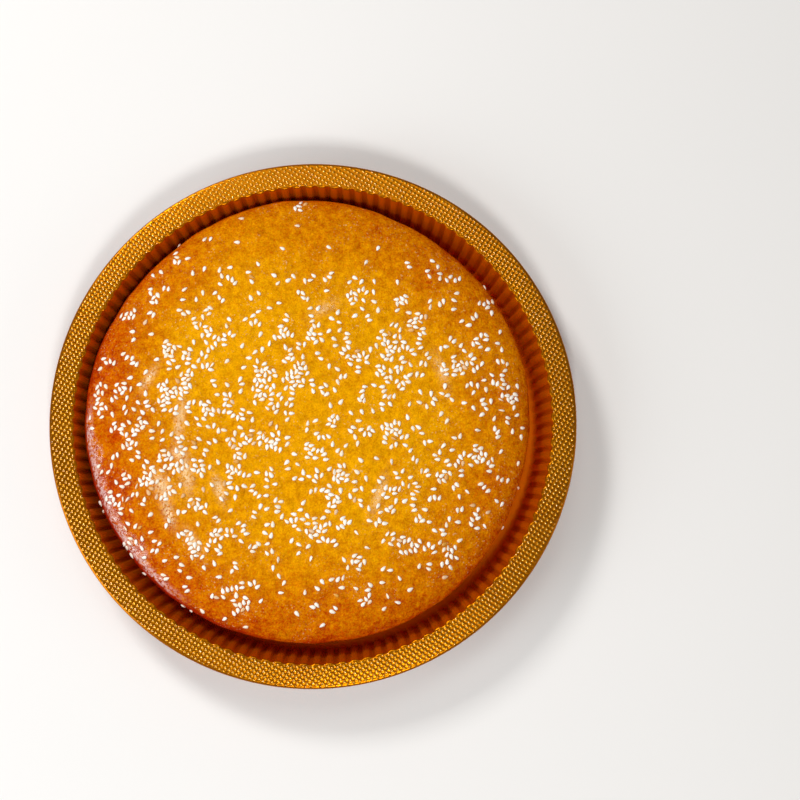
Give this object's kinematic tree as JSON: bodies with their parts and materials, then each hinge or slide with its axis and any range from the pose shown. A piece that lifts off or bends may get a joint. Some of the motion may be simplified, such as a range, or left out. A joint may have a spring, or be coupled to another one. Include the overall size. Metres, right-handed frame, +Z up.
{
  "type": "filled pastry cake",
  "caption": "Large round filled pastry cake with a glazed, seed-strewn domed crust, lying in its thin fluted gold tray with a flat rim.",
  "frame": {"origin": "middle of the underside of the tray's flat floor", "axes": "+Z up out of the tray; the cake lies 3.5 mm off the tray's middle, towards -X and +Y"},
  "size_m": [0.272, 0.272, 0.0355],
  "materials": {
    "crust": "egg-glazed baked crust, golden in the middle and red-brown at the edge, finely mottled",
    "sesame": "raw cream-white sesame, a few seeds toasted",
    "gold_tray": "thin gold-metallised plastic sheet with an embossed dotted rim"
  },
  "bodies": {
    "root": {"cake": "crust", "tray": "gold_tray"}
  },
  "joints": []
}
